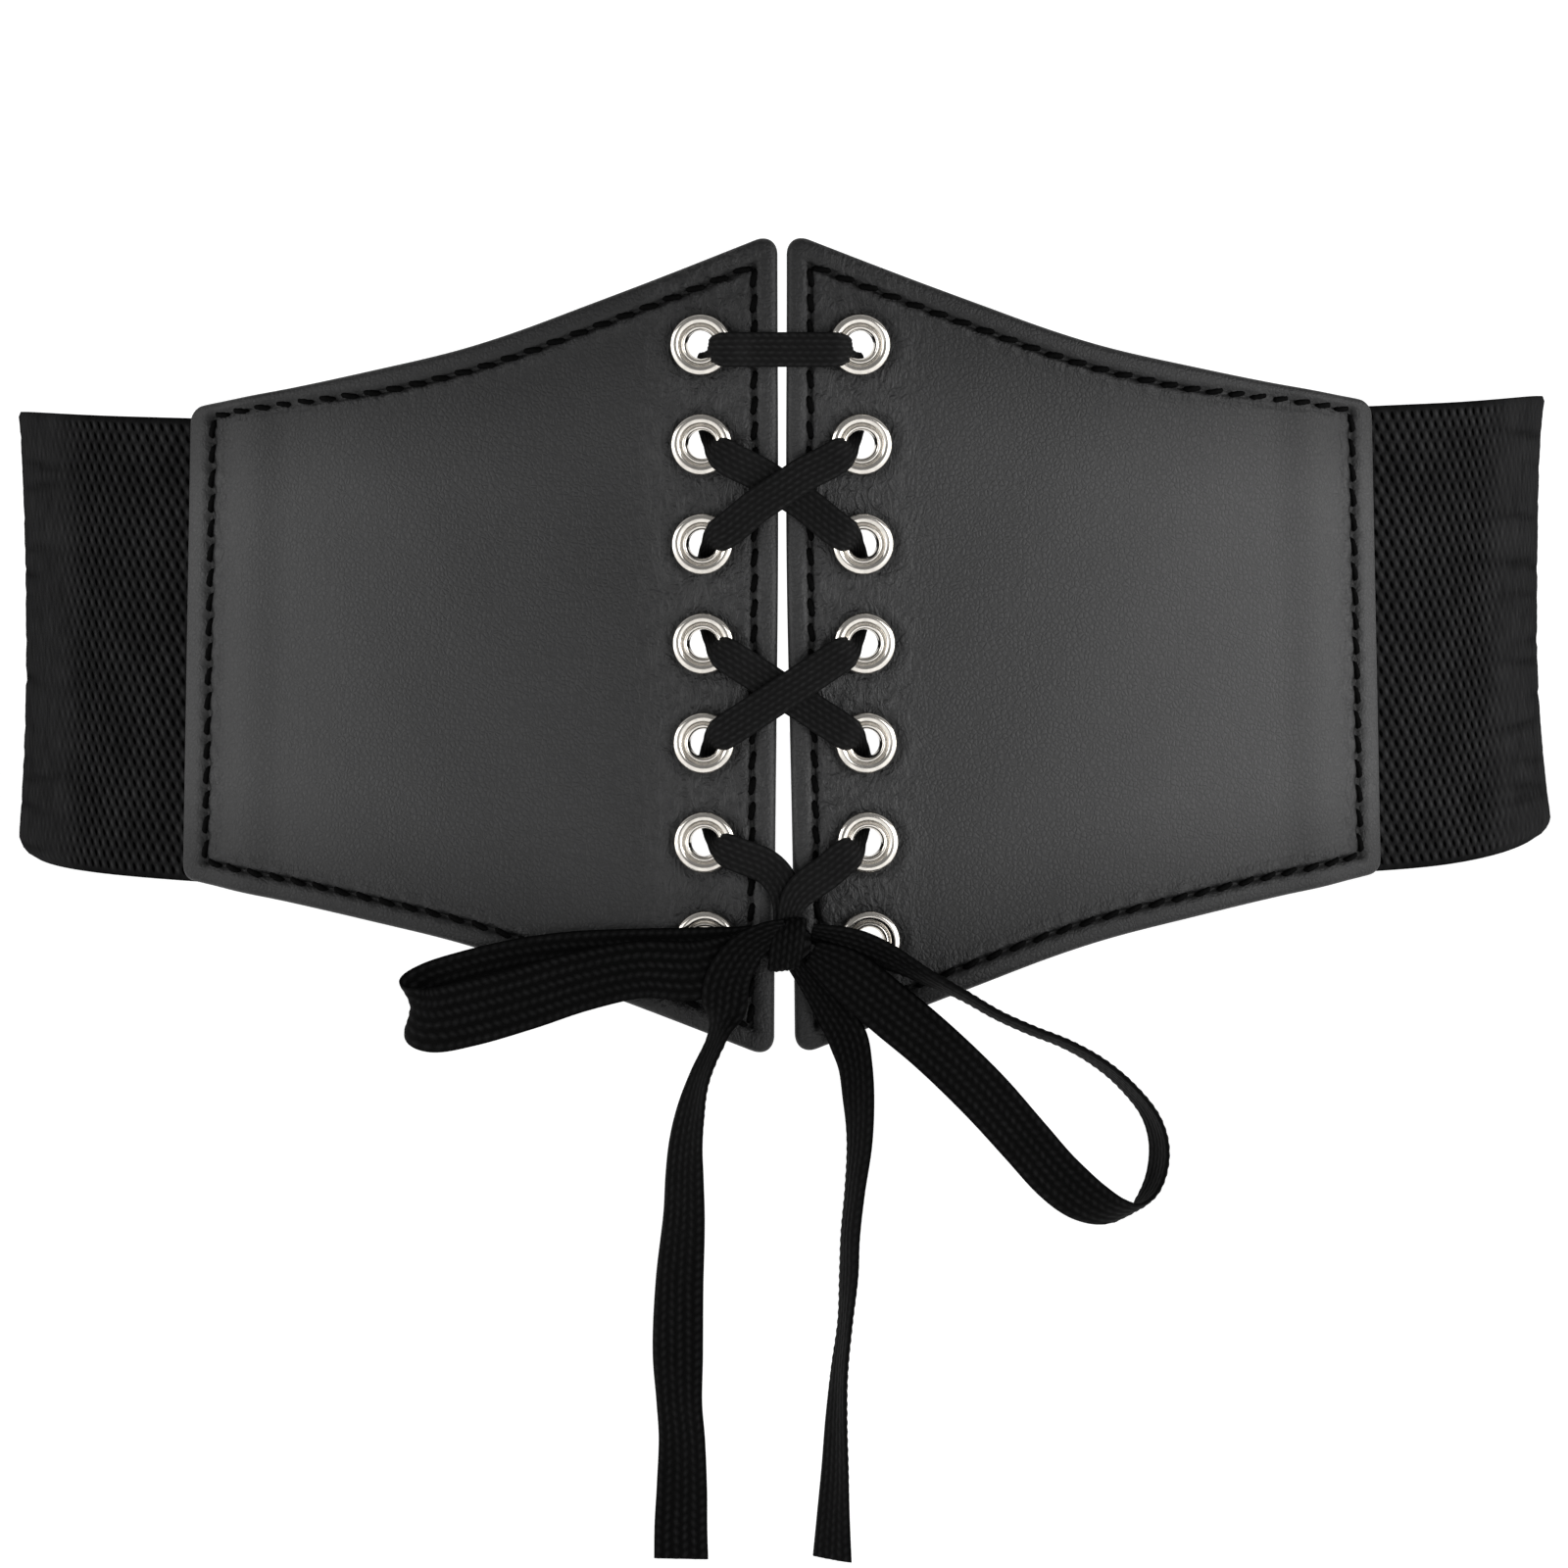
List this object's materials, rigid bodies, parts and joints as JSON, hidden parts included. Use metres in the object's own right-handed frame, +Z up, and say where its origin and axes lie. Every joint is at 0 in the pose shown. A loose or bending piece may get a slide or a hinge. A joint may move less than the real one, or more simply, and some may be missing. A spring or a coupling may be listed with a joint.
{
  "type": "lace-up corset belt",
  "caption": "Wide corset belt of two shaped leather-look front panels laced through metal eyelets and tied in a bow, on wide elastic bands that run round to snap closure tabs at the back.",
  "frame": {"origin": "centre of the waist loop, at the middle height of the front panels, where the wearer's waist is", "axes": "+Z up along the waist, the laced front faces -Y, +X to the right seen from the front"},
  "size_m": [0.2659, 0.1939, 0.2163],
  "materials": {
    "panel_leather": "charcoal-black faux leather, fine pebble grain, soft satin sheen",
    "elastic_webbing": "matt black woven elastic with a staggered rib weave",
    "eyelet_metal": "satin nickel plate, rolled rims",
    "lace_braid": "matt black flat braided lace with lengthwise ribs"
  },
  "bodies": {
    "root": {"panel_left": "panel_leather", "panel_right": "panel_leather", "elastic_left": "elastic_webbing", "elastic_right": "elastic_webbing", "closure_tab_left": "panel_leather", "closure_tab_right": "panel_leather", "eyelet_left_1": "eyelet_metal", "eyelet_left_2": "eyelet_metal", "eyelet_left_3": "eyelet_metal", "eyelet_left_4": "eyelet_metal", "eyelet_left_5": "eyelet_metal", "eyelet_left_6": "eyelet_metal", "eyelet_left_7": "eyelet_metal", "eyelet_right_1": "eyelet_metal", "eyelet_right_2": "eyelet_metal", "eyelet_right_3": "eyelet_metal", "eyelet_right_4": "eyelet_metal", "eyelet_right_5": "eyelet_metal", "eyelet_right_6": "eyelet_metal", "eyelet_right_7": "eyelet_metal", "snap_cap_1": "eyelet_metal", "snap_cap_2": "eyelet_metal", "snap_stud_1": "eyelet_metal", "snap_stud_2": "eyelet_metal", "lace": "lace_braid", "bow_knot": "lace_braid", "bow_loop_left": "lace_braid", "bow_loop_right": "lace_braid", "lace_tail_left": "lace_braid", "lace_tail_right": "lace_braid"}
  },
  "joints": []
}
